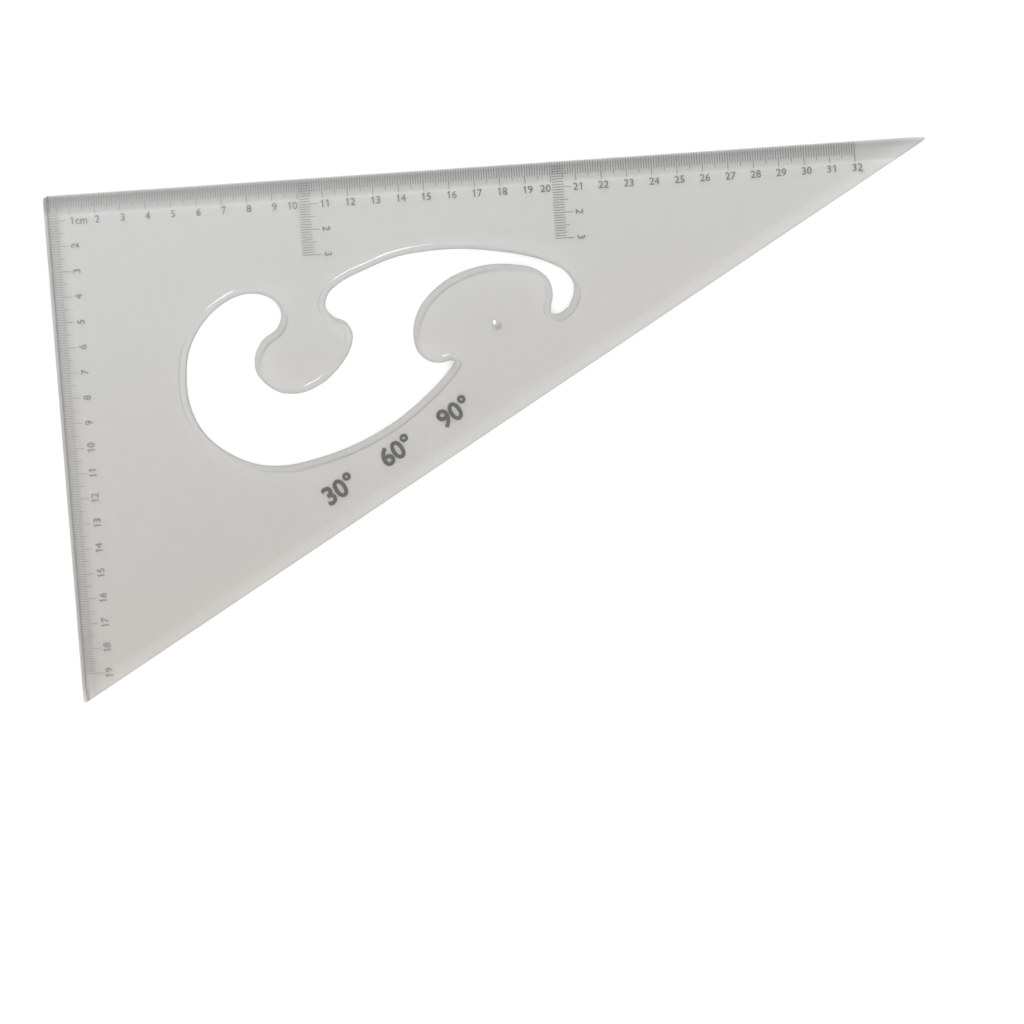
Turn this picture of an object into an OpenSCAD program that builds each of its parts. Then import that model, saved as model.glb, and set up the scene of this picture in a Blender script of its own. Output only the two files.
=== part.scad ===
// Set square of 30, 60 and 90 degrees with a French-curve opening.
// One clear moulded plate, with its scales printed on the underside.
// Millimetres. The plate lies flat: underside at z = 0, +Z up, the long leg
// along +X at the back, the right angle at the back left corner.

/* [Set square] */
// Length of the long leg, from corner to corner
long_leg = 350; // [340:5:360]
// Thickness of the plate
plate_t = 3; // [2.5:0.1:3.5]
// Radius of the right-angled corner
corner_r = 2; // [1:0.5:4]
// Radius of the two pointed corners
tip_r = 0.8; // [0.5:0.1:1.2]

/* [Bevelled edges] */
// Width of the bevel that carries the long leg's scale
long_bevel_w = 7.6; // [5:0.2:8]
// Width of the bevel on the short leg
short_bevel_w = 2.8; // [2:0.2:6]
// Width of the bevel on the hypotenuse
hyp_bevel_w = 4.4; // [3:0.2:6]
// Height of the edge that is left under each bevel
rim_t = 1.4; // [1:0.1:1.8]

/* [French curve] */
// Width of the sloped lip around the opening
lip_w = 2.6; // [1.5:0.1:3]
// How far the lip drops towards the opening
lip_drop = 1.2; // [0.6:0.1:1.5]
// Terraces that stand for the slope of the lip
lip_terraces = 2; // [1:1:3]
// Straight pieces drawn between two points of the curve
curve_steps = 4; // [3:1:6]

/* [Moulding gate] */
// Diameter of the pip left where the plate was moulded
pip_d = 4; // [3:0.5:5]
// Height of the pip above the plate
pip_h = 0.9; // [0.5:0.1:1.2]

/* [Printed scales] */
// Depth of the pressed bands that keep the print off the table
band_depth = 0.05; // [0.04:0.01:0.1]
// Thickness of the print
ink_t = 0.03; // [0.02:0.01:0.04]
// Width of a printed line
line_w = 0.2; // [0.15:0.01:0.3]
// Height of the scale's figures
figure_h = 3; // [2.5:0.1:3.4]
// Height of the figures in the angle marking
mark_h = 7.5; // [6:0.5:9]

/* [Hidden] */
$fn = 48;

short_leg = long_leg * tan(30);
hypotenuse = long_leg / cos(30);
// the rounded points end this far short of the sharp corners
long_tip_cut = tip_r / tan(15) - tip_r;
short_tip_cut = tip_r / tan(30) - tip_r;
// the right angle, with the outline's box centred on the origin
corner_x = -(long_leg - long_tip_cut) / 2;
corner_y = (short_leg - short_tip_cut) / 2;

// all places are given as u along the long leg and v down the short leg
function at(u, v) = [corner_x + u, corner_y - v];

print_colour = [0.36, 0.36, 0.35];
// how far a cutter runs past what it cuts
cut = 1;

// Scales: one line a millimetre, counted from the right angle
long_last_cm = floor(long_leg / 10) - 3;
short_last_cm = floor(short_leg / 10) - 1;
short_first_mm = 8;
cross_first_mm = 2;
cross_last_mm = 30;
cross_places = [100, 200];
// reach of the short, middle and long lines, from the edge inwards
long_reach = [5.2, 6.6, 7.9];
short_reach = [5.2, 6.9, 8.4];
cross_reach = [5, 6.6, 8];
long_start = 0.4;
short_start = 2;
cross_start = 0.5;
long_figure_v = 10.1;
short_figure_u = 11;
cross_figure_u = 10.8;
long_figure_shift = 0.8;
// a figure steps aside for the line of a cross scale
long_figure_aside = -2.1;
unit_u = 12.6;
band_edge = 2;
// clear width left between two blocks of print that cross
ink_gap = 0.1;

// Place of the moulding gate's pip
pip_u = 175.4;
pip_v = 62.6;

// Points of the French curve as [u, v], clockwise, joined by a smooth curve
CURVE = [
    [163, 31.5], [175, 33], [187, 35.5], [197, 39], [203.5, 43], [206.5, 48],
    [205.5, 54], [202.5, 58], [199.5, 59.5], [197, 59], [197, 56.5], [198, 52],
    [196.5, 45.5], [192, 41.5], [183, 39], [173, 38.5], [163, 40.5], [153, 45.5],
    [145.5, 53], [142, 63], [143.5, 71], [148, 75], [153.5, 75.5], [156, 75],
    [157.5, 75.5], [156.5, 77], [152.5, 81.5], [143.5, 89.5], [134, 96.5], [123, 102.5],
    [112, 107], [101, 110], [89, 112], [77, 111], [66, 106], [57, 98], [52, 87.5],
    [51, 75.5], [53, 64], [59.5, 53.5], [69, 46], [77, 43.5], [84, 44.5], [89, 48],
    [90.5, 52], [89, 57], [82, 62.5], [79, 68], [79, 74.5], [82.5, 79.5], [87.5, 83],
    [95, 84], [104, 81], [111, 75.5], [116.5, 68], [118, 62], [115.5, 57], [110.5, 54.5],
    [108, 50.5], [109.5, 45.5], [115.5, 41], [125, 37], [137, 33], [150, 31.5]
];
curve_n = len(CURVE);
function curve_at(i) = at(CURVE[(i + curve_n) % curve_n][0], CURVE[(i + curve_n) % curve_n][1]);

// Direction of the curve at point i, weighted towards the nearer neighbour
function slope(i) =
    let(back = curve_at(i) - curve_at(i - 1), ahead = curve_at(i + 1) - curve_at(i),
        db = norm(back), da = norm(ahead))
    (back * (da / db) + ahead * (db / da)) / (da + db);

function between(a, ma, b, mb, t) =
    (2 * t ^ 3 - 3 * t ^ 2 + 1) * a + (t ^ 3 - 2 * t ^ 2 + t) * ma
    + (3 * t ^ 2 - 2 * t ^ 3) * b + (t ^ 3 - t ^ 2) * mb;

opening = [for (i = [0 : curve_n - 1], s = [0 : curve_steps - 1])
    let(span = norm(curve_at(i + 1) - curve_at(i)))
    between(curve_at(i), slope(i) * span, curve_at(i + 1), slope(i + 1) * span, s / curve_steps)];
opening_n = len(opening);

// Unit normal that points from the opening into the plate
function into_plate(i) =
    let(along = opening[(i + 1) % opening_n] - opening[(i + opening_n - 1) % opening_n])
    [-along[1], along[0]] / norm(along);

function arc(centre, r, from, to, steps = 8) =
    [for (i = [0 : steps]) let(a = from + (to - from) * i / steps)
        centre + r * [cos(a), sin(a)]];

// --- plate ---

module outline() {
    long_tip = at(long_leg, 0) + tip_r / sin(15) * [cos(195), sin(195)];
    short_tip = at(0, short_leg) + tip_r / sin(30) * [cos(60), sin(60)];
    polygon(concat(
        arc(at(corner_r, corner_r), corner_r, 90, 180),
        arc(short_tip, tip_r, 180, 300),
        arc(long_tip, tip_r, -60, 90)));
}

// Wedge that bevels an edge: it runs along +X, with the plate on its -Y side
module bevel_cut(length, width) {
    steep = (plate_t - rim_t) / width;
    translate([-cut, 0, 0]) rotate([90, 0, 90]) linear_extrude(length + 2 * cut)
        polygon([[cut, rim_t - cut * steep], [cut, plate_t + cut],
            [-width - cut / steep, plate_t + cut]]);
}

module edge_bevels() {
    translate(at(0, 0)) bevel_cut(long_leg, long_bevel_w);
    translate(at(0, short_leg)) rotate(90) bevel_cut(short_leg, short_bevel_w);
    translate(at(long_leg, 0)) rotate(210) bevel_cut(hypotenuse, hyp_bevel_w);
}

// Lip around the opening: terraces that step down along its slope
module lip_cut() {
    for (k = [0 : lip_terraces - 1]) {
        share = (k + 0.5) / lip_terraces;
        translate([0, 0, plate_t - lip_drop * share]) linear_extrude(plate_t)
            polygon([for (i = [0 : opening_n - 1])
                opening[i] + into_plate(i) * lip_w * (1 - share)]);
    }
}

// Pressed bands on the underside, one for each block of print
module band(u1, v1, u2, v2) {
    translate([corner_x + u1, corner_y - v2, -cut]) cube([u2 - u1, v2 - v1, cut + band_depth]);
}

module print_bands() {
    band(long_start / 2, long_start / 2, long_last_cm * 10 + 2 * band_edge, long_figure_v + band_edge);
    band(short_start - line_w, short_first_mm - 2 * line_w, short_figure_u + band_edge,
        short_last_cm * 10 + band_edge);
    for (u = cross_places)
        band(u + cross_start / 2, band_edge, u + cross_figure_u + band_edge, cross_last_mm + band_edge);
    angle_place() translate([-mark_l / 2 - band_edge, -mark_h / 2 - band_edge, -cut])
        cube([mark_l + 2 * band_edge, mark_h + 2 * band_edge, cut + band_depth]);
}

module gate_pip() {
    ball_r = (pip_d ^ 2 / 4 + pip_h ^ 2) / (2 * pip_h);
    translate(concat(at(pip_u, pip_v), plate_t)) intersection() {
        translate([0, 0, pip_h - ball_r]) sphere(ball_r, $fn = 96);
        translate([0, 0, -pip_h / 4]) cylinder(h = 2 * pip_h, d = 2 * pip_d);
    }
}

module plate() {
    color([0.81, 0.81, 0.79, 0.5]) union() {
        difference() {
            linear_extrude(plate_t) outline();
            edge_bevels();
            translate([0, 0, -cut]) linear_extrude(plate_t + 2 * cut) polygon(opening);
            lip_cut();
            print_bands();
        }
        gate_pip();
    }
}

// --- printed lines ---

module ink() {
    color(print_colour) translate([0, 0, band_depth - ink_t]) children();
}

// Which of the three lengths a line has: 0 millimetre, 1 half centimetre, 2 centimetre
function rank(mm) = mm % 10 == 0 ? 2 : mm % 5 == 0 ? 1 : 0;

module long_leg_lines(which) {
    ink() for (mm = [1 : long_last_cm * 10]) if (rank(mm) == which)
        translate([corner_x + mm - line_w / 2, corner_y - long_reach[which], 0])
            cube([line_w, long_reach[which] - long_start, ink_t]);
}

module short_leg_lines(which) {
    ink() for (mm = [short_first_mm : short_last_cm * 10]) if (rank(mm) == which)
        translate([corner_x + short_start, corner_y - mm - line_w / 2, 0])
            cube([short_reach[which] - short_start, line_w, ink_t]);
}

// The first lines of a cross scale stop short of the long leg's lines, which they cross
module cross_scale_lines(u) {
    ink() difference() {
        for (mm = [cross_first_mm : cross_last_mm])
            translate([corner_x + u + cross_start, corner_y - mm - line_w / 2, 0])
                cube([cross_reach[rank(mm)] - cross_start, line_w, ink_t]);
        for (mm = [u + 1 : u + floor(cross_reach[1])])
            translate([corner_x + mm - line_w / 2 - ink_gap, corner_y - long_reach[rank(mm)] - ink_gap, -cut])
                cube([line_w + 2 * ink_gap, long_reach[rank(mm)] + ink_gap, 2 * cut]);
    }
}

// --- printed figures, drawn with a pen of one width ---

// Strokes of each figure on a grid 1 wide and 2 high, cut like a stencil
STROKES = [
    [[[0.3, 0], [0, 0.3], [0, 1.7], [0.3, 2], [0.7, 2], [1, 1.7], [1, 0.3], [0.75, 0.05]]],
    [[[0.2, 1.6], [0.6, 2], [0.6, 0]]],
    [[[0, 1.6], [0.25, 2], [0.75, 2], [1, 1.7], [1, 1.3], [0, 0], [1, 0]]],
    [[[0, 2], [0.9, 2], [0.4, 1.2], [0.9, 0.9], [1, 0.3], [0.7, 0], [0, 0.1]]],
    [[[0.35, 0.5], [0, 0.5], [0.7, 2], [0.7, 0]]],
    [[[1, 2], [0.1, 2], [0, 1.1], [0.7, 1.2], [1, 0.9], [1, 0.3], [0.7, 0], [0, 0.1]]],
    [[[0.9, 2], [0.4, 1.9], [0, 1.2], [0, 0.3], [0.3, 0], [0.7, 0], [1, 0.3], [1, 0.8],
        [0.75, 1.1], [0.4, 1.1]]],
    [[[0, 2], [1, 2], [0.4, 0]]],
    [[[0.35, 1.25], [0.1, 1.5], [0.2, 2], [0.8, 2], [0.9, 1.5], [0.65, 1.25]],
        [[0.35, 0.9], [0, 0.7], [0, 0.2], [0.25, 0], [0.75, 0], [1, 0.2], [1, 0.7], [0.65, 0.9]]],
    [[[0.1, 0], [0.6, 0.1], [1, 0.8], [1, 1.7], [0.7, 2], [0.3, 2], [0, 1.7], [0, 1.2],
        [0.25, 0.9], [0.6, 0.9]]]
];
LETTER_C = [[[0.9, 1], [0.7, 1.2], [0.3, 1.2], [0, 0.9], [0, 0.3], [0.3, 0], [0.7, 0], [0.9, 0.2]]];
LETTER_M = [[[0, 0], [0, 1.2], [1.2, 1.2], [1.2, 0]], [[0.6, 0.9], [0.6, 0]]];

// width of the pen as a share of a figure's height
pen_share = 0.15;

// Corner of a stroke's side: the two directions' normals, mitred
function stroke_side(p, w) = [for (i = [0 : len(p) - 1])
    let(a = i == 0 ? p[1] - p[0] : p[i] - p[i - 1],
        b = i == len(p) - 1 ? a : p[i + 1] - p[i],
        na = [-a[1], a[0]] / norm(a), nb = [-b[1], b[0]] / norm(b))
    p[i] + (na + nb) * w / (1 + na * nb)];

module glyph(strokes, h) {
    pen = h * pen_share;
    scale_to = (h - pen) / 2;
    for (s = strokes) {
        p = [for (q = s) q * scale_to];
        side = stroke_side(p, -pen / 2);
        linear_extrude(ink_t) polygon(concat(stroke_side(p, pen / 2),
            [for (i = [len(side) - 1 : -1 : 0]) side[i]]));
    }
}

function advance(h) = h * 0.68;

// A whole number, centred on the origin
module number(n, h) {
    count = n > 9 ? 2 : 1;
    figure_w = h * (1 - pen_share) / 2;
    translate([-(advance(h) * (count - 1) + figure_w) / 2, -figure_w, 0]) {
        if (count == 2) glyph(STROKES[floor(n / 10)], h);
        translate([advance(h) * (count - 1), 0, 0]) glyph(STROKES[n % 10], h);
    }
}

module long_leg_figures() {
    ink() for (cm = [1 : long_last_cm]) {
        aside = cm == 10 || cm == 20 ? long_figure_aside : long_figure_shift;
        translate([corner_x + cm * 10 + aside, corner_y - long_figure_v, 0]) number(cm, figure_h);
    }
    ink() translate([corner_x + unit_u, corner_y - long_figure_v - figure_h * (1 - pen_share) / 2, 0]) {
        glyph(LETTER_C, figure_h);
        translate([advance(figure_h), 0, 0]) glyph(LETTER_M, figure_h);
    }
}

module short_leg_figures() {
    ink() for (cm = [2 : short_last_cm])
        translate([corner_x + short_figure_u, corner_y - cm * 10, 0]) rotate(90) number(cm, figure_h);
}

module cross_scale_figures(u) {
    ink() for (cm = [2 : 3])
        translate([corner_x + u + cross_figure_u, corner_y - cm * 10, 0]) rotate(-90) number(cm, figure_h);
}

// --- angle marking beside the hypotenuse ---

mark_u = 132;
mark_v = 109;
mark_turn = 30;
mark_gap = 15;
mark_step = advance(mark_h) * 2 + mark_h * 0.3 + mark_gap;
mark_l = 3 * mark_step - mark_gap;

module angle_place() {
    translate([corner_x + mark_u, corner_y - mark_v, 0]) rotate(mark_turn) children();
}

module degree_ring(h) {
    ring_r = h * 0.13;
    linear_extrude(ink_t) difference() {
        circle(ring_r + h * 0.06);
        circle(ring_r - h * 0.02);
    }
}

module angle_marking() {
    ink() angle_place() for (i = [0 : 2])
        translate([-mark_l / 2 + i * mark_step + advance(mark_h), 0, 0]) {
            translate([-mark_h * 0.12, 0, 0]) number(30 * (i + 1), mark_h);
            translate([advance(mark_h) * 0.98, mark_h * 0.3, 0]) degree_ring(mark_h);
        }
}

plate();
long_leg_lines(0);  // long_leg_millimetre_lines
long_leg_lines(1);  // long_leg_half_centimetre_lines
long_leg_lines(2);  // long_leg_centimetre_lines
long_leg_figures();
short_leg_lines(0);  // short_leg_millimetre_lines
short_leg_lines(1);  // short_leg_half_centimetre_lines
short_leg_lines(2);  // short_leg_centimetre_lines
short_leg_figures();
cross_scale_lines(cross_places[0]);  // cross_scale_10_lines
cross_scale_figures(cross_places[0]);  // cross_scale_10_figures
cross_scale_lines(cross_places[1]);  // cross_scale_20_lines
cross_scale_figures(cross_places[1]);  // cross_scale_20_figures
angle_marking();
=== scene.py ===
# A clear 30-60-90 set square with a French-curve opening, lying on a white table.
# Sizes are in millimetres until a mesh is made: u runs along the long leg from the right
# angle, and v runs down the short leg. The frame gives the place of that corner.
import math

import bpy
from mathutils import Matrix, Vector
from mathutils.geometry import tessellate_polygon


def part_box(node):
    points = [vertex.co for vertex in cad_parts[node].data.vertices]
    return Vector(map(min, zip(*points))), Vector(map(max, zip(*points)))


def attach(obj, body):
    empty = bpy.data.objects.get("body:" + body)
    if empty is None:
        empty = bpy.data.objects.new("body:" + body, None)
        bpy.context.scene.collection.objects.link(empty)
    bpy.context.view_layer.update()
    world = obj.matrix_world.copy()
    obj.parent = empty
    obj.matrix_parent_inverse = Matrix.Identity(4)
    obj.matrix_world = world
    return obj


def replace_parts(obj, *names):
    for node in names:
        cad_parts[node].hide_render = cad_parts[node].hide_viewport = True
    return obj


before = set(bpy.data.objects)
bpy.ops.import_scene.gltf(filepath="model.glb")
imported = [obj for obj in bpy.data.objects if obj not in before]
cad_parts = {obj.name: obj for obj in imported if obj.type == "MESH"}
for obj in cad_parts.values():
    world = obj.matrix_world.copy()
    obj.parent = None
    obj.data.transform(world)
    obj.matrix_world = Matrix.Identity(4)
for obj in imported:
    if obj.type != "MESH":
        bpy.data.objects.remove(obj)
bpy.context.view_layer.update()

# --- Camera -------------------------------------------------------------------------
# It looks down on the table from a little to the right of the middle, turned slightly,
# so that the long leg climbs to the right.

MM = 0.001

camera = bpy.data.objects.new("camera", bpy.data.cameras.new("camera"))
camera.data.lens = 70
camera.data.sensor_width = 36
camera.location = Vector((7.4, 14.2, 791.2)) * MM
camera.rotation_euler = [math.radians(turn) for turn in (-3.645, 0.128, -3.85)]
bpy.context.scene.collection.objects.link(camera)
bpy.context.scene.camera = camera

# --- Plate --------------------------------------------------------------------------
# One injection moulding in clear acrylic. The mould's polished faces leave it glossy,
# its edges are bevelled on the top side, and a smooth lip runs round the opening.

PLATE_T = 3.0
# radii of the right-angled corner and of the two sharp ones, and the arcs' steps
CORNER_R = 2.0
TIP_R = 0.8
CORNER_STEPS = 12
# what the bevels leave of the thickness at the rim, and how wide each of them is
RIM_T = 1.4
LONG_BEVEL_W = 7.6
SHORT_BEVEL_W = 2.8
HYP_BEVEL_W = 4.4
EDGE_R = 0.15

plate_low, plate_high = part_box("plate")
# the right angle's sharp corner, and the legs' lengths to where their edges would meet
CORNER = Vector((plate_low.x, plate_high.y)) / MM
LONG_LEG = (plate_high.x - plate_low.x) / MM + TIP_R / math.tan(math.radians(15)) - TIP_R
SHORT_LEG = LONG_LEG * math.tan(math.radians(30))

# Points of the French curve as (u, v), clockwise, joined by a smooth curve
CURVE = [
    (163, 31.5), (175, 33), (187, 35.5), (197, 39), (203.5, 43), (206.5, 48),
    (205.5, 54), (202.5, 58), (199.5, 59.5), (197, 59), (197, 56.5), (198, 52),
    (196.5, 45.5), (192, 41.5), (183, 39), (173, 38.5), (163, 40.5), (153, 45.5),
    (145.5, 53), (142, 63), (143.5, 71), (148, 75), (153.5, 75.5), (156, 75),
    (157.5, 75.5), (156.5, 77), (152.5, 81.5), (143.5, 89.5), (134, 96.5), (123, 102.5),
    (112, 107), (101, 110), (89, 112), (77, 111), (66, 106), (57, 98), (52, 87.5),
    (51, 75.5), (53, 64), (59.5, 53.5), (69, 46), (77, 43.5), (84, 44.5), (89, 48),
    (90.5, 52), (89, 57), (82, 62.5), (79, 68), (79, 74.5), (82.5, 79.5), (87.5, 83),
    (95, 84), (104, 81), (111, 75.5), (116.5, 68), (118, 62), (115.5, 57), (110.5, 54.5),
    (108, 50.5), (109.5, 45.5), (115.5, 41), (125, 37), (137, 33), (150, 31.5),
]


def at(u, v):
    """The place of a point given along the long leg and down the short leg."""
    return CORNER + Vector((u, -v))


def smooth_closed(points, steps):
    """A closed curve through the points, with tangents weighted to the nearer neighbour."""
    count = len(points)
    spans = [(points[(i + 1) % count] - points[i]).length for i in range(count)]
    slopes = []
    for i in range(count):
        back, ahead = points[i] - points[i - 1], points[(i + 1) % count] - points[i]
        before, after = spans[i - 1], spans[i]
        slopes.append((back * (after / before) + ahead * (before / after)) / (before + after))
    made = []
    for i in range(count):
        a, b = points[i], points[(i + 1) % count]
        leave, arrive = slopes[i] * spans[i], slopes[(i + 1) % count] * spans[i]
        for s in range(steps):
            t = s / steps
            made.append(
                a * (2 * t**3 - 3 * t**2 + 1) + leave * (t**3 - 2 * t**2 + t)
                + b * (3 * t**2 - 2 * t**3) + arrive * (t**3 - t**2)
            )
    return made


def rounded(corners, steps):
    """A profile with its corners, given as (x, y, radius), rounded into short arcs."""
    made = [Vector(corners[0][:2])]
    for before, here, after in zip(corners, corners[1:], corners[2:]):
        middle = Vector(here[:2])
        back = (Vector(before[:2]) - middle).normalized()
        ahead = (Vector(after[:2]) - middle).normalized()
        half = back.angle(ahead) / 2
        reach = here[2] / math.tan(half)
        start, end = middle + back * reach, middle + ahead * reach
        centre = middle + (back + ahead).normalized() * here[2] / math.sin(half)
        sweep = math.pi - 2 * half
        for s in range(steps + 1):
            share = s / steps
            spoke = (start - centre) * math.sin(sweep * (1 - share))
            spoke += (end - centre) * math.sin(sweep * share)
            made.append(centre + spoke / math.sin(sweep))
    return made + [Vector(corners[-1][:2])]


def heading(degrees):
    """The way that lies a number of degrees anticlockwise from +X."""
    return Vector((math.cos(math.radians(degrees)), math.sin(math.radians(degrees))))


def arc(centre, radius, start, end, steps):
    """Points along an arc, with its angles in degrees."""
    return [centre + radius * heading(start + (end - start) * i / steps) for i in range(steps + 1)]


def outline(inset):
    """The plate's outline as its three rounded corners, anticlockwise, drawn in by inset."""
    long_tip = at(LONG_LEG, 0) - heading(15) * (TIP_R / math.sin(math.radians(15)))
    short_tip = at(0, SHORT_LEG) + heading(60) * (TIP_R / math.sin(math.radians(30)))
    return [
        arc(at(CORNER_R, CORNER_R), CORNER_R - inset, 90, 180, CORNER_STEPS),
        arc(short_tip, TIP_R - inset, 180, 300, CORNER_STEPS),
        arc(long_tip, TIP_R - inset, -60, 90, CORNER_STEPS),
    ]


# Each side as its inward normal, a point on it and the width of its bevel, in the order
# that the outline meets them: short leg, hypotenuse, long leg
SIDES = [
    (Vector((1, 0)), at(0, 0), SHORT_BEVEL_W),
    (heading(120), at(LONG_LEG, 0), HYP_BEVEL_W),
    (Vector((0, -1)), at(0, 0), LONG_BEVEL_W),
]


def bevel_height(point):
    """Height of the bevels' top at a point near the outline."""
    steep = [(PLATE_T - RIM_T) / width for _, _, width in SIDES]
    rises = [(point - foot).dot(inward) * s for (inward, foot, _), s in zip(SIDES, steep)]
    return min([PLATE_T] + [RIM_T + rise for rise in rises])


def meeting(a, b):
    """Where the ridges of two sides' bevels meet."""
    (inward_a, foot_a, width_a), (inward_b, foot_b, width_b) = SIDES[a], SIDES[b]
    reach_a, reach_b = inward_a.dot(foot_a) + width_a, inward_b.dot(foot_b) + width_b
    det = inward_a.cross(inward_b)
    return Vector((
        (reach_a * inward_b.y - reach_b * inward_a.y) / det,
        (inward_a.x * reach_b - inward_b.x * reach_a) / det,
    ))


class Shell:
    """Vertices and faces of a shell that is built ring by ring."""

    def __init__(self):
        self.points, self.tones, self.faces, self.smooth = [], [], [], []

    def ring(self, points, heights, tones=None):
        """Adds a ring of vertices, each with its tone, and returns their numbers."""
        first = len(self.points)
        self.points += [(p.x, p.y, h) for p, h in zip(points, heights)]
        self.tones += tones or [1.0] * len(points)
        return list(range(first, len(self.points)))

    def face(self, corners, smooth):
        """Adds one face."""
        self.faces.append(corners)
        self.smooth.append(smooth)

    def bridge(self, a, b, smooth=True):
        """Joins two rings of as many vertices."""
        for i in range(len(a)):
            j = (i + 1) % len(a)
            self.face([a[i], a[j], b[j], b[i]], smooth)

    def cover(self, rings, up):
        """Fills the flat area between an outer ring and the rings inside it."""
        loops = [[Vector(self.points[i]) for i in ring] for ring in rings]
        numbers = [i for ring in rings for i in ring]
        for triangle in tessellate_polygon(loops):
            a, b, c = (Vector(self.points[numbers[i]]) for i in triangle)
            turned = (b - a).cross(c - a).z
            corners = [numbers[i] for i in triangle]
            self.face(corners if (turned > 0) == up else corners[::-1], False)


plate_shell = Shell()

# The outer edge, from the underside up to the bevels, as rings drawn in by an inset
round_off = EDGE_R * (1 - math.cos(math.radians(45)))
edge_rings = []
for inset, drop, from_top in (
    (EDGE_R, 0, False), (round_off, round_off, False), (0, EDGE_R, False),
    (0, EDGE_R, True), (round_off, round_off, True), (EDGE_R, 0, True),
):
    ring_points = [p for corner in outline(inset) for p in corner]
    heights = [bevel_height(p) - drop if from_top else drop for p in ring_points]
    edge_rings.append(plate_shell.ring(ring_points, heights))
for lower, upper in zip(edge_rings, edge_rings[1:]):
    plate_shell.bridge(lower, upper)

# The bevels climb from the edge to a ridge, which is a triangle
ridge = plate_shell.ring([meeting(2, 0), meeting(0, 1), meeting(1, 2)], [PLATE_T] * 3)
rim = edge_rings[-1]
per_corner = len(rim) // 3
for corner in range(3):
    arc_ends = rim[corner * per_corner:(corner + 1) * per_corner]
    inner, following = ridge[corner], ridge[(corner + 1) % 3]
    for a, b in zip(arc_ends, arc_ends[1:]):
        plate_shell.face([a, b, inner], False)
    next_end = rim[((corner + 1) * per_corner) % len(rim)]
    plate_shell.face([arc_ends[-1], next_end, following, inner], False)


def between(stops, place_mm):
    """The value at a place, from the stops on both sides of it."""
    for (start, first), (end, last) in zip(stops, stops[1:]):
        if place_mm <= end:
            share = max(0, place_mm - start) / (end - start)
            return first + (last - first) * share
    return stops[-1][1]


# The opening: its lip slopes down from the top face to a straight wall
LIP_W = 2.6
LIP_DROP = 1.2
# how far from the opening the shoulder above the lip ends, and with it the lip's painted shading
LIP_REACH = LIP_W + 0.8
# steps between two points of the curve, round a corner of the profile and down its slope
CURVE_STEPS = 8
ROUND_STEPS = 6
SLOPE_STEPS = 6
# the lip is painted darker at its foot as shade and lighter on its slope as light: tones at
# distances in mm
LIP_SHADING = [(0, 0.68), (0.2, 0.8), (0.45, 1.01), (1, 1.06), (2, 1.05), (3, 0.99), (3.4, 1)]
# A painted shadow band, which is only a tone, runs round the lip: the shadow that the opening's
# wall casts on the table, further from the opening the more the lip faces one of two ways. Each
# has how far it runs out in mm along x and y, its depth, its width in mm and how sharply it keeps
# to its way
SHADOW_BANDS = [(Vector((2, -2.4)), 0.4, 0.6, 2), (Vector((-2.6, 0)), 0.32, 0.3, 6)]
opening = smooth_closed([at(u, v) for u, v in CURVE], CURVE_STEPS)
into_plate = []
for i in range(len(opening)):
    tangent = opening[(i + 1) % len(opening)] - opening[i - 1]
    into_plate.append(Vector((-tangent.y, tangent.x)).normalized())
# the profile's corners, as distance from the opening, height and radius
lip_profile = rounded([
    (LIP_REACH, PLATE_T, 0), (LIP_W, PLATE_T, 3.5),
    (0, PLATE_T - LIP_DROP, 0.35), (0, 0, EDGE_R), (0.4, 0, 0),
], ROUND_STEPS)
# the slope below the shoulder is cut into short steps, so that it can carry the painted shadow
# band
foot = ROUND_STEPS + 2
upper_end, lower_end = lip_profile[foot - 1], lip_profile[foot]
lip_profile[foot:foot] = [
    upper_end.lerp(lower_end, step / SLOPE_STEPS) for step in range(1, SLOPE_STEPS)]


def crease(away, reach):
    """How much darker the painted shadow band makes a place on the lip."""
    shaded = 0
    for way, depth, width, sharpness in SHADOW_BANDS:
        facing = max(0, way.normalized().dot(away)) ** sharpness
        shaded += depth * facing * math.exp(-((reach - way.dot(away)) / width) ** 2)
    return shaded


lip_rings = []
for reach, height in lip_profile:
    ring_points = [p + away * reach for p, away in zip(opening, into_plate)]
    # the lip's rings carry its painted shade and light, less the painted shadow band
    tones = None
    if height > EDGE_R and reach < LIP_REACH:
        tones = [between(LIP_SHADING, reach) - crease(away, reach) for away in into_plate]
    lip_rings.append(plate_shell.ring(ring_points, [height] * len(ring_points), tones))
for upper, lower in zip(lip_rings, lip_rings[1:]):
    plate_shell.bridge(lower, upper)

# The pip that the moulding gate left, a blunt cone in a shallow dish. Its cone is painted darker
# as shade, most on the lower right side, away from the window
PIP_U, PIP_V, PIP_H = 175.4, 62.6, 0.9
PIP_FOOT_R = 2.3
PIP_SHADE_TONE = 0.55
PIP_SHADE_WAY = Vector((0.66, -0.75)).normalized()
PIP_STEPS, PIP_SPOKES = 4, 40
# its profile's corners, as distance from its middle, height over the plate and radius
pip_profile = rounded([
    (3.5, 0, 0), (2.8, -0.18, 0.6), (2.4, -0.18, 0.3), (1.1, 0.82, 0.5), (0.1, PIP_H, 0),
], PIP_STEPS)
pip_rings = []
for radius, height in pip_profile:
    spokes = arc(Vector((0, 0)), radius, 0, 360 - 360 / PIP_SPOKES, PIP_SPOKES - 1)
    # painted shade on the cone, darkest on its lower right side
    pip_shade = 1 - PIP_SHADE_TONE if radius < PIP_FOOT_R else 0
    facing = [0.5 + 0.5 * spoke.normalized().dot(PIP_SHADE_WAY) for spoke in spokes]
    tones = [1 - pip_shade * math.sqrt(max(0, share)) for share in facing]
    pip_rings.append(plate_shell.ring(
        [at(PIP_U, PIP_V) + spoke for spoke in spokes], [PLATE_T + height] * len(spokes), tones))
for outer, inner in zip(pip_rings, pip_rings[1:]):
    plate_shell.bridge(outer, inner)
plate_shell.face(pip_rings[-1], True)

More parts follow.
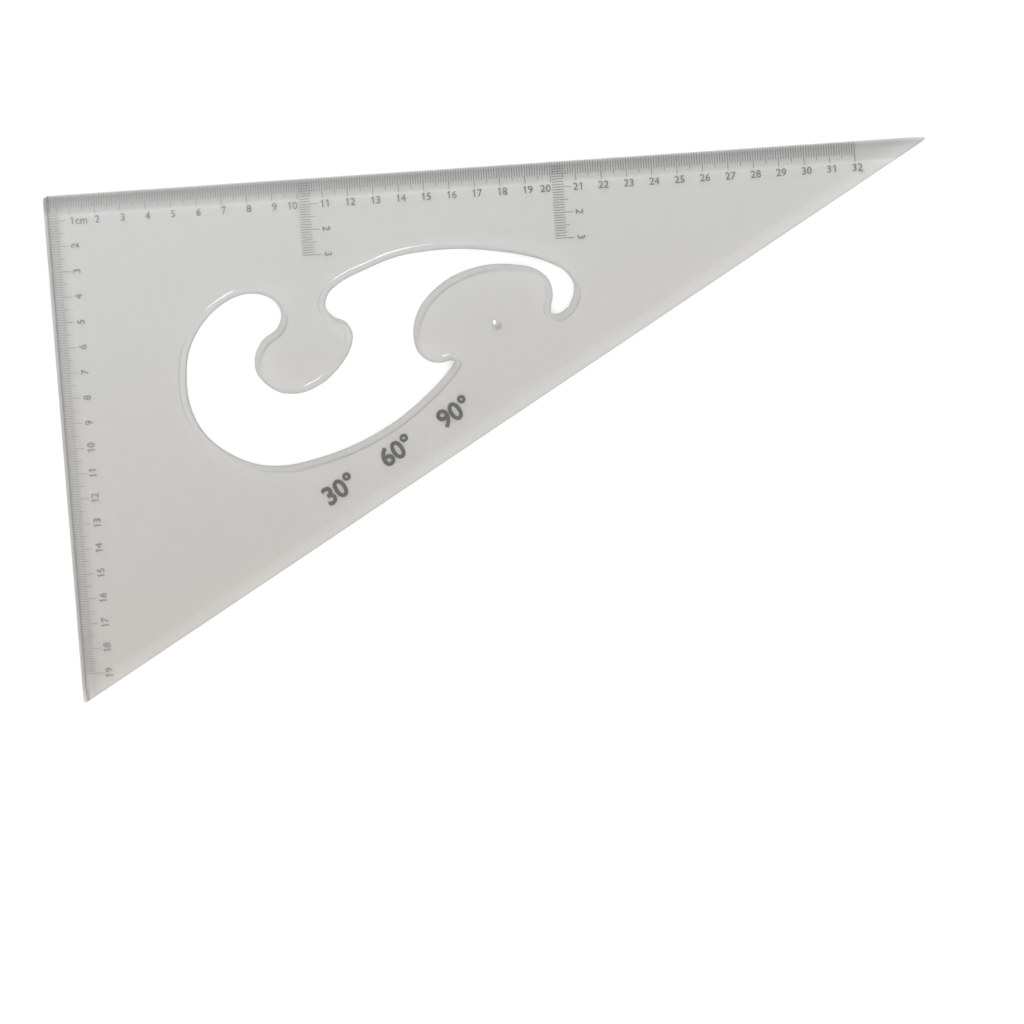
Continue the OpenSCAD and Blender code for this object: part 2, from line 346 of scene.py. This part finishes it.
plate_shell.cover([ridge, lip_rings[0], pip_rings[0]], True)
plate_shell.cover([edge_rings[0], lip_rings[-1]], False)


def place(mesh, name):
    """An object at the origin for a finished mesh."""
    made = bpy.data.objects.new(name, mesh)
    bpy.context.scene.collection.objects.link(made)
    return made


plate_mesh = bpy.data.meshes.new("clear_plate")
plate_mesh.from_pydata([Vector(p) * MM for p in plate_shell.points], [], plate_shell.faces)
plate_mesh.polygons.foreach_set("use_smooth", plate_shell.smooth)
plate_mesh.attributes.new("tone", "FLOAT", "POINT").data.foreach_set("value", plate_shell.tones)
plate_mesh.update()
clear_plate = place(plate_mesh, "clear_plate")


def linear(hex_colour):
    """A colour from its sRGB hex value."""
    parts = [int(hex_colour[i:i + 2], 16) / 255 for i in (1, 3, 5)]
    made = [p / 12.92 if p <= 0.04045 else ((p + 0.055) / 1.055) ** 2.4 for p in parts]
    return (*made, 1.0)


def add_node(tree, kind, links=None, **settings):
    """Adds a node. links gives its inputs: another node's socket, or a value."""
    made = tree.nodes.new(kind)
    for key, value in settings.items():
        setattr(made, key, value)
    for key, value in (links or {}).items():
        if isinstance(value, bpy.types.NodeSocket):
            tree.links.new(value, made.inputs[key])
        else:
            made.inputs[key].default_value = value
    return made


def along(tree, where, start, way):
    """How far a place is from a start, in mm, measured along a way."""
    apart = add_node(tree, "ShaderNodeVectorMath", {
        0: where, 1: (start.x * MM, start.y * MM, 0)}, operation="SUBTRACT")
    measured = add_node(tree, "ShaderNodeVectorMath", {
        0: apart.outputs[0], 1: (way.x / MM, way.y / MM, 0)}, operation="DOT_PRODUCT")
    return measured.outputs["Value"]


def tone_ramp(tree, distance, stops):
    """A grey tone that follows a distance; stops gives it at places in mm."""
    span = stops[-1][0]
    share = add_node(tree, "ShaderNodeMath", {0: distance, 1: 1 / span}, operation="MULTIPLY")
    ramp = add_node(tree, "ShaderNodeValToRGB", {"Fac": share.outputs[0]})
    for place_mm, _ in stops[1:-1]:
        ramp.color_ramp.elements.new(place_mm / span)
    for element, (_, tone) in zip(ramp.color_ramp.elements, stops):
        element.color = (tone, tone, tone, 1)
    return ramp.outputs["Color"]


# Painted shade and highlights of the plastic at distances in mm from each side, in the order
# of SIDES: the darker lines and bands near the rims are painted shade, the bevels shade up to
# the ridge, and the lighter bands near the ridges are painted highlights. Light meets a tone at
# the top and again at the underside, so it shows squared
RIM_SHADING = [
    [
        (0, 1), (1.3, 0.93), (1.7, 0.62), (2.1, 0.66), (2.5, 0.88), (3.2, 0.96), (4.2, 0.94),
        (5.3, 0.92), (6.3, 0.95), (9, 1),
    ],
    [(0, 0.94), (0.4, 1), (0.8, 1.09), (2, 1.09), (3, 1.06), (4.4, 1.04), (5.5, 1)],
    [
        (0, 1), (0.8, 0.9), (1.4, 0.8), (2, 0.81), (3.7, 0.88), (5.4, 0.9), (7.2, 0.935),
        (7.7, 0.985), (8.2, 1.045), (9.8, 1),
    ],
]
# painted light falloff: the plastic is painted darker and warmer over this many mm along this way,
# which is mostly down the short leg
FALLOFF_WAY, FALLOFF_RUN = Vector((0.17, -1)), 190.0


def clear_acrylic():
    """Moulded acrylic: clear, faint grey and polished, painted darker and warmer far from the
    corner where the light falls off, with painted shade and highlights at its rims, lip and pip.
    """
    material = bpy.data.materials.new("clear_acrylic")
    material.use_nodes = True
    tree = material.node_tree
    tree.nodes.clear()
    where = add_node(tree, "ShaderNodeTexCoord").outputs["Object"]
    # painted shade: darker and warmer further from the corner, as the light falls off
    far = add_node(tree, "ShaderNodeMapRange", {
        "Value": along(tree, where, CORNER, FALLOFF_WAY), "From Min": 0.0, "From Max": FALLOFF_RUN})
    tint_and_shade = add_node(tree, "ShaderNodeMix", {
        "Factor": far.outputs["Result"], "A": linear("#E6E7E6"), "B": linear("#DFDDDA")},
        data_type="RGBA")
    # the mesh carries the lip's and pip's painted shade, and each side has a ramp of painted shade
    # and highlights
    tones = [add_node(tree, "ShaderNodeAttribute", attribute_name="tone").outputs["Fac"]]
    for (inward, foot, _), stops in zip(SIDES, RIM_SHADING):
        tones.append(tone_ramp(tree, along(tree, where, foot, inward), stops))
    for tone in tones:
        tint_and_shade = add_node(tree, "ShaderNodeMix", {
            "Factor": 1.0, "A": tint_and_shade.outputs["Result"], "B": tone},
            data_type="RGBA", blend_type="MULTIPLY")
    # slow unevenness left by the mould's flow, about 40 mm across
    flow = add_node(tree, "ShaderNodeTexNoise", {"Vector": where, "Scale": 25, "Detail": 1})
    bump = add_node(tree, "ShaderNodeBump", {
        "Height": flow.outputs["Fac"], "Strength": 0.02, "Distance": 0.002})
    # rubbing marks from use, about 5 mm across, change how sharp the gloss is
    rub = add_node(tree, "ShaderNodeTexNoise", {"Vector": where, "Scale": 180, "Detail": 6})
    haze = add_node(tree, "ShaderNodeMapRange", {
        "Value": rub.outputs["Fac"], "From Min": 0.35, "From Max": 0.75,
        "To Min": 0.02, "To Max": 0.07})
    shader = add_node(tree, "ShaderNodeBsdfPrincipled", {
        "Base Color": tint_and_shade.outputs["Result"], "Transmission Weight": 1.0, "IOR": 1.49,
        "Roughness": haze.outputs["Result"], "Normal": bump.outputs["Normal"]})
    add_node(tree, "ShaderNodeOutputMaterial", {"Surface": shader.outputs["BSDF"]})
    return material


clear_plate.data.materials.append(clear_acrylic())
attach(clear_plate, "root")
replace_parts(clear_plate, "plate")

# --- Printed lines ------------------------------------------------------------------
# Dark grey ink, hot stamped into the underside line by line: one a millimetre, with
# longer ones at each half and whole centimetre.

# the print lies a hair inside the plate's underside: its lowest height and its thickness
INK_LOW, INK_T = 0.02, 0.03
LINE_W = 0.2
RANKS = ["millimetre", "half_centimetre", "centimetre"]
# the ink takes a third tone near the corner, less and less between these two distances in mm
CORNER_TONE_WAY, CORNER_TONE_START, CORNER_TONE_END = Vector((1, -0.3)), 70.0, 190.0


def stamped_ink(name, low, high, corner_tone):
    """Hot-stamped ink: dull grey between two tones, turning to a third tone near the corner."""
    material = bpy.data.materials.new(name)
    material.use_nodes = True
    tree = material.node_tree
    tree.nodes.clear()
    where = add_node(tree, "ShaderNodeTexCoord").outputs["Object"]
    # the foil's ink comes off in blotches about 1 mm across
    grain = add_node(tree, "ShaderNodeTexNoise", {"Vector": where, "Scale": 900, "Detail": 3})
    shades = add_node(tree, "ShaderNodeMix", {
        "Factor": grain.outputs["Fac"], "A": linear(low), "B": linear(high)}, data_type="RGBA")
    off_corner = add_node(tree, "ShaderNodeMapRange", {
        "Value": along(tree, where, CORNER, CORNER_TONE_WAY),
        "From Min": CORNER_TONE_START, "From Max": CORNER_TONE_END})
    shades = add_node(tree, "ShaderNodeMix", {
        "Factor": off_corner.outputs["Result"], "A": linear(corner_tone), "B": shades.outputs["Result"]},
        data_type="RGBA")
    shader = add_node(tree, "ShaderNodeBsdfPrincipled", {
        "Base Color": shades.outputs["Result"], "Roughness": 0.7})
    add_node(tree, "ShaderNodeOutputMaterial", {"Surface": shader.outputs["BSDF"]})
    return material


line_ink = stamped_ink("line_ink", "#747472", "#90908E", "#AEAEAA")


def line_tree():
    """A row of lines along +X that keeps only those of one rank."""
    tree = bpy.data.node_groups.new("scale_lines", "GeometryNodeTree")
    sockets = {}
    for name, kind in (
        ("First", "Int"), ("Last", "Int"), ("Rank", "Int"), ("Start", "Float"), ("Reach", "Float"),
        ("Line Width", "Float"), ("Ink Height", "Float"), ("Ink Thickness", "Float"),
        ("Ink", "Material"),
    ):
        socket = tree.interface.new_socket(name, in_out="INPUT", socket_type="NodeSocket" + kind)
        sockets[name] = socket.identifier
    tree.interface.new_socket("Geometry", in_out="OUTPUT", socket_type="NodeSocketGeometry")
    given = add_node(tree, "NodeGroupInput").outputs
    values = {name: given[name] for name in sockets}
    values["index"] = add_node(tree, "GeometryNodeInputIndex").outputs[0]
    # Sums, each as its name, its operation and what it works on. A line's rank is 2 where
    # its number divides by ten, and 1 where it divides by five only
    for name, operation, first, second in (
        ("steps", "SUBTRACT", "Last", "First"),
        ("count", "ADD", "steps", 1.0),
        ("number", "ADD", "index", "First"),
        ("past ten", "MODULO", "number", 10.0),
        ("past five", "MODULO", "number", 5.0),
        ("is ten", "COMPARE", "past ten", 0.0),
        ("is five", "COMPARE", "past five", 0.0),
        ("rank", "ADD", "is ten", "is five"),
        ("is wanted", "COMPARE", "rank", "Rank"),
        ("is other", "SUBTRACT", 1.0, "is wanted"),
        ("run", "SUBTRACT", "Reach", "Start"),
        ("length", "ABSOLUTE", "run", 0.0),
        ("both ends", "ADD", "Reach", "Start"),
        ("middle", "MULTIPLY", "both ends", 0.5),
        ("half ink", "MULTIPLY", "Ink Thickness", 0.5),
        ("height", "ADD", "Ink Height", "half ink"),
    ):
        values[name] = add_node(tree, "ShaderNodeMath", {
            0: values.get(first, first), 1: values.get(second, second)},
            operation=operation).outputs[0]
    row_start = add_node(tree, "ShaderNodeCombineXYZ", {"X": values["First"]})
    row = add_node(tree, "GeometryNodeMeshLine", {
        "Count": values["count"], "Start Location": row_start.outputs[0], "Offset": (1, 0, 0)})
    kept = add_node(tree, "GeometryNodeDeleteGeometry", {
        "Geometry": row.outputs[0], "Selection": values["is other"]}, domain="POINT")
    bar_size = add_node(tree, "ShaderNodeCombineXYZ", {
        "X": values["Line Width"], "Y": values["length"], "Z": values["Ink Thickness"]})
    bar = add_node(tree, "GeometryNodeMeshCube", {"Size": bar_size.outputs[0]})
    bar_place = add_node(tree, "ShaderNodeCombineXYZ", {
        "Y": values["middle"], "Z": values["height"]})
    placed = add_node(tree, "GeometryNodeTransform", {
        "Geometry": bar.outputs["Mesh"], "Translation": bar_place.outputs[0]})
    stamped = add_node(tree, "GeometryNodeInstanceOnPoints", {
        "Points": kept.outputs[0], "Instance": placed.outputs[0]})
    real = add_node(tree, "GeometryNodeRealizeInstances", {"Geometry": stamped.outputs[0]})
    inked = add_node(tree, "GeometryNodeSetMaterial", {
        "Geometry": real.outputs[0], "Material": values["Ink"]})
    add_node(tree, "NodeGroupOutput", {0: inked.outputs[0]})
    return tree, sockets


lines, line_sockets = line_tree()


def standing(u, v, turn):
    """The move that stands a shape, in mm about the origin, at a place on the plate."""
    corner = at(u, v)
    return (
        Matrix.Scale(MM, 4) @ Matrix.Translation((corner.x, corner.y, 0))
        @ Matrix.Rotation(math.radians(turn), 4, "Z"))


def printed_lines(name, numbers, rank, ends, turn, u, thick=INK_T):
    """One block of printed lines of a rank, along an edge or down from a place u on it."""
    maker = place(bpy.data.meshes.new(name + "_maker"), name + "_maker")
    modifier = maker.modifiers.new("lines", "NODES")
    modifier.node_group = lines
    for key, value in (
        ("First", numbers[0]), ("Last", numbers[1]), ("Rank", rank),
        ("Start", ends[0]), ("Reach", ends[1]), ("Line Width", LINE_W),
        ("Ink Height", INK_LOW), ("Ink Thickness", thick), ("Ink", line_ink),
    ):
        modifier[line_sockets[key]] = value
    maker.update_tag()
    bpy.context.view_layer.update()
    evaluated = maker.evaluated_get(bpy.context.evaluated_depsgraph_get())
    mesh = bpy.data.meshes.new_from_object(evaluated)
    maker.modifiers.remove(modifier)
    bpy.data.objects.remove(maker)
    mesh.transform(standing(u, 0, turn))
    mesh.name = name
    made = place(mesh, name)
    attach(made, "root")
    return made


# Each scale has its first and last line's number, how far from its edge its lines start,
# and how far out the lines of each rank reach. The long leg's run down from just inside its
# edge, and the short leg's first line is clear of the long leg's scale
LONG_NUMBERS, LONG_START, LONG_REACH = (1, 320), 0.4, (5.2, 6.6, 7.9)
SHORT_NUMBERS, SHORT_START, SHORT_REACH = (8, 190), 2.0, (5.2, 6.9, 8.4)
for rank, reach in enumerate(LONG_REACH):
    name = f"long_leg_{RANKS[rank]}_lines"
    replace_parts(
        printed_lines(name + "_ink", LONG_NUMBERS, rank, (-LONG_START, -reach), 0, 0), name)
for rank, reach in enumerate(SHORT_REACH):
    name = f"short_leg_{RANKS[rank]}_lines"
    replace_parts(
        printed_lines(name + "_ink", SHORT_NUMBERS, rank, (SHORT_START, reach), -90, 0), name)

# Two cross scales go down from the 10 and 20 centimetre lines, each 30 mm deep. Their ink
# is thinner, so the long leg's lines lie over them where the two meet
CROSS_PLACES = {"cross_scale_10": 100, "cross_scale_20": 200}
CROSS_NUMBERS, CROSS_START, CROSS_REACH = (2, 30), 0.5, (5.0, 6.6, 8.0)
CROSS_INK_T = 0.02
for scale, place_u in CROSS_PLACES.items():
    for rank, reach in enumerate(CROSS_REACH):
        part = printed_lines(
            f"{scale}_{RANKS[rank]}_ink", CROSS_NUMBERS, rank, (CROSS_START, reach), -90,
            place_u, CROSS_INK_T)
        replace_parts(part, scale + "_lines")

# --- Printed figures ----------------------------------------------------------------
# The centimetres' figures are stamped in a slightly lighter grey than the lines, upright
# along the long leg and turned to read up the short leg.

FIGURE_H = 3.0
# how far in the figures stand from the long leg, the short leg and a cross scale
FIGURE_V = 10.1
FIGURE_U = 11.0
CROSS_FIGURE_U = 10.8
# how far a figure of the long leg stands past its line, or short of a cross scale
FIGURE_SHIFT = 0.8
CROSS_SHIFT = -2.1
# the unit stands after the long leg's first figure, and the short leg's first figure is 2
UNIT_U = 14.5
SHORT_FIRST_CM = 2
# a figure's width with its gap, as a share of its height, and how much its pen is widened
FIGURE_STEP = 0.72
FIGURE_WEIGHT = 0.03
# how tall a figure of the type is, as a share of the type's size
CAP_SHARE = 0.729
figure_ink = stamped_ink("figure_ink", "#7E7E7C", "#989896", "#A4A4A0")


def stamped_type(words, height, weight):
    """A word as a thin solid, centred on the origin, with its capitals at a height."""
    font = bpy.data.curves.new("type", "FONT")
    font.body = words
    font.size = height / CAP_SHARE
    font.offset = weight
    font.extrude = INK_T / 2
    font.resolution_u = 3
    font.align_x = "CENTER"
    maker = bpy.data.objects.new("type", font)
    bpy.context.scene.collection.objects.link(maker)
    bpy.context.view_layer.update()
    evaluated = maker.evaluated_get(bpy.context.evaluated_depsgraph_get())
    mesh = bpy.data.meshes.new_from_object(evaluated)
    bpy.data.objects.remove(maker)
    bpy.data.curves.remove(font)
    mesh.transform(Matrix.Translation((0, -height / 2, INK_LOW + INK_T / 2)))
    return mesh


# Two figures are drawn: a one with a flag and no foot, and a four. Each is an outline and
# the holes in it, given for a figure 1 high
DRAWN = {
    "1": [[
        (-0.02, 0), (0.13, 0), (0.13, 1), (0.03, 1),
        (-0.02, 0.89), (-0.19, 0.8), (-0.19, 0.69), (-0.02, 0.75),
    ]],
    "4": [[
        (0.055, 0), (0.22, 0), (0.215, 0.3), (0.31, 0.3), (0.31, 0.44), (0.21, 0.445),
        (0.2, 0.97), (0.14, 0.97), (-0.34, 0.37), (-0.34, 0.31), (0.06, 0.31),
    ], [
        (0.065, 0.435), (-0.13, 0.435), (0.07, 0.68),
    ]],
}


def drawn_figure(loops, height):
    """A figure as a thin solid, centred like the type."""
    shell = Shell()
    low, high = [], []
    for loop in loops:
        points = [Vector((x, y - 0.5)) * height for x, y in loop]
        low.append(shell.ring(points, [INK_LOW] * len(points)))
        high.append(shell.ring(points, [INK_LOW + INK_T] * len(points)))
        shell.bridge(low[-1], high[-1])
    shell.cover(high, True)
    shell.cover(low, False)
    mesh = bpy.data.meshes.new("figure")
    mesh.from_pydata(shell.points, [], shell.faces)
    return mesh


def stamped_number(number, height, u, v, turn):
    """A number's figures, evenly spaced about a place, as words for a block of print."""
    words = []
    figures = str(number)
    for order, figure in enumerate(figures):
        if figure in DRAWN:
            shape = drawn_figure(DRAWN[figure], height)
        else:
            shape = stamped_type(figure, height, FIGURE_WEIGHT)
        across = (order - (len(figures) - 1) / 2) * FIGURE_STEP * height
        shape.transform(Matrix.Translation((across, 0, 0)))
        words.append((shape, u, v, turn))
    return words


def printed_words(name, words, stamp=figure_ink):
    """One block of print from words, each with its mesh, u, v and turn."""
    points, faces = [], []
    for mesh, u, v, turn in words:
        move = standing(u, v, turn)
        first = len(points)
        points += [move @ vertex.co for vertex in mesh.vertices]
        faces += [[first + i for i in polygon.vertices] for polygon in mesh.polygons]
    joined = bpy.data.meshes.new(name + "_ink")
    joined.from_pydata(points, [], faces)
    joined.materials.append(stamp)
    made = place(joined, name + "_ink")
    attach(made, "root")
    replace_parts(made, name)


long_words = [(stamped_type("cm", FIGURE_H, FIGURE_WEIGHT), UNIT_U, FIGURE_V, 0)]
for cm in range(1, LONG_NUMBERS[1] // 10 + 1):
    shift = CROSS_SHIFT if cm * 10 in CROSS_PLACES.values() else FIGURE_SHIFT
    long_words += stamped_number(cm, FIGURE_H, cm * 10 + shift, FIGURE_V, 0)
printed_words("long_leg_figures", long_words)

short_words = []
for cm in range(SHORT_FIRST_CM, SHORT_NUMBERS[1] // 10 + 1):
    short_words += stamped_number(cm, FIGURE_H, FIGURE_U, cm * 10, 90)
printed_words("short_leg_figures", short_words)

for scale, place_u in CROSS_PLACES.items():
    cross_words = []
    for cm in (2, 3):
        cross_words += stamped_number(cm, FIGURE_H, place_u + CROSS_FIGURE_U, cm * 10, -90)
    printed_words(scale + "_figures", cross_words)

# --- Angle marking ------------------------------------------------------------------
# The square's three angles in heavy type, stamped beside the opening and in line with
# the hypotenuse.

# the middle angle's place, the turn of the row, the height and spacing of the angles, and
# how much the pen is widened
MARK_U, MARK_V = 132, 109
MARK_TURN = 30
MARK_H = 7.5
MARK_STEP = 27.5
MARK_WEIGHT = 0.3
heavy_ink = stamped_ink("heavy_ink", "#50504E", "#70706E", "#606060")

mark_words = []
for steps, degrees in zip((-1, 0, 1), (30, 60, 90)):
    mark_u = MARK_U + steps * MARK_STEP * math.cos(math.radians(MARK_TURN))
    mark_v = MARK_V - steps * MARK_STEP * math.sin(math.radians(MARK_TURN))
    marked = stamped_type(f"{degrees}°", MARK_H, MARK_WEIGHT)
    mark_words.append((marked, mark_u, mark_v, MARK_TURN))
printed_words("angle_marking", mark_words, heavy_ink)

# --- Table and light ----------------------------------------------------------------
# A white table top in a white room, whose even light does most of the work. A low window
# to the upper left and a strip light at the front only draw the gloss.

# the table is shown a little below the plate, so that the two surfaces stay apart
TABLE_Z = -0.5
TABLE_HALF = 2000
ROOM_LIGHT = 1.4

table_mesh = bpy.data.meshes.new("table")
table_mesh.from_pydata([
    Vector((x * TABLE_HALF, y * TABLE_HALF, TABLE_Z)) * MM
    for x, y in ((-1, -1), (1, -1), (1, 1), (-1, 1))], [], [(0, 1, 2, 3)])
table = place(table_mesh, "table")


def white_laminate():
    """Matt white laminate, with a very faint grain of 2.5 mm in its tone."""
    material = bpy.data.materials.new("white_laminate")
    material.use_nodes = True
    tree = material.node_tree
    tree.nodes.clear()
    where = add_node(tree, "ShaderNodeTexCoord").outputs["Object"]
    grain = add_node(tree, "ShaderNodeTexNoise", {"Vector": where, "Scale": 400, "Detail": 2})
    tone = add_node(tree, "ShaderNodeMix", {
        "Factor": grain.outputs["Fac"], "A": linear("#F4F4F4"), "B": linear("#FBFBFB")},
        data_type="RGBA")
    shader = add_node(tree, "ShaderNodeBsdfPrincipled", {
        "Base Color": tone.outputs["Result"], "Roughness": 0.9, "Specular IOR Level": 0.1})
    add_node(tree, "ShaderNodeOutputMaterial", {"Surface": shader.outputs["BSDF"]})
    return material


table.data.materials.append(white_laminate())

world = bpy.data.worlds.new("studio")
bpy.context.scene.world = world
world.use_nodes = True
room = world.node_tree.nodes["Background"]
room.inputs["Color"].default_value = (1, 1, 1, 1)
room.inputs["Strength"].default_value = ROOM_LIGHT


def panel_light(name, where, width, height, radiance):
    """A flat panel of light that faces the middle of the square."""
    lamp = bpy.data.lights.new(name, "AREA")
    lamp.shape = "RECTANGLE"
    lamp.size = width
    lamp.size_y = height
    lamp.energy = radiance * math.pi * width * height
    made = bpy.data.objects.new(name, lamp)
    made.location = where
    made.rotation_euler = (-Vector(where)).to_track_quat("-Z", "Y").to_euler()
    bpy.context.scene.collection.objects.link(made)
    return made


window = panel_light("window", (-1.02, 1.17, 0.39), 0.6, 0.6, 25)
strip = panel_light("strip", (0.15, -0.76, 1.36), 0.34, 0.45, 10)
# neither lights the table, and the strip isn't seen through the plastic
for lamp in (window, strip):
    lamp.visible_diffuse = False
strip.visible_transmission = False

bpy.context.scene.view_settings.view_transform = "Standard"
